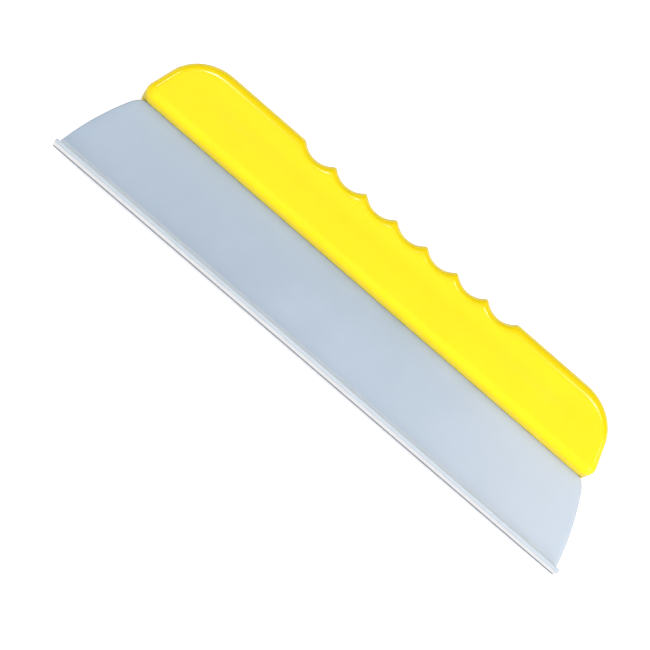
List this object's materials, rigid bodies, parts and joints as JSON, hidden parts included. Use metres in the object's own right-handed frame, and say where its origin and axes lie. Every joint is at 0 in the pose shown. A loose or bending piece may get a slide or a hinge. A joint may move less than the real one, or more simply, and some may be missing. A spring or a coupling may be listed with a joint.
{
  "type": "silicone water blade squeegee",
  "caption": "Hand squeegee: a long hollow moulded grip with finger scallops clamps a translucent silicone web that ends in a T-shaped wiping bar.",
  "frame": {"origin": "centre of the bounding box's underside: the rear land lies on Z = 0, halfway along the blade and halfway between wiping face and grip", "axes": "+X along the blade, +Y from the wiping face towards the grip, +Z the front face's normal"},
  "size_m": [0.305, 0.0816, 0.019],
  "materials": {
    "handle_plastic": "glossy bright yellow moulded plastic, lightly scuffed",
    "blade_silicone": "translucent bluish grey silicone, satin",
    "wiping_silicone": "milky translucent silicone, satin"
  },
  "bodies": {
    "handle": {"front_handle_shell": "handle_plastic", "rear_handle_shell": "handle_plastic", "blade_anchor_strip": "blade_silicone"},
    "web": {"blade_web": "blade_silicone"},
    "t_bar": {"t_bar_head": "wiping_silicone"}
  },
  "joints": [
    {"name": "blade_flex", "type": "hinge", "parent": "handle", "child": "web", "pos_m": [0, -0.00265, 0.0095], "axis": [1, 0, 0], "range_deg": [-45, 45], "stiffness_Nm_per_rad": 0.12},
    {"name": "t_bar_roll", "type": "hinge", "parent": "web", "child": "t_bar", "pos_m": [0, -0.03785, 0.0095], "axis": [1, 0, 0], "range_deg": [-25, 25], "stiffness_Nm_per_rad": 0.16}
  ]
}
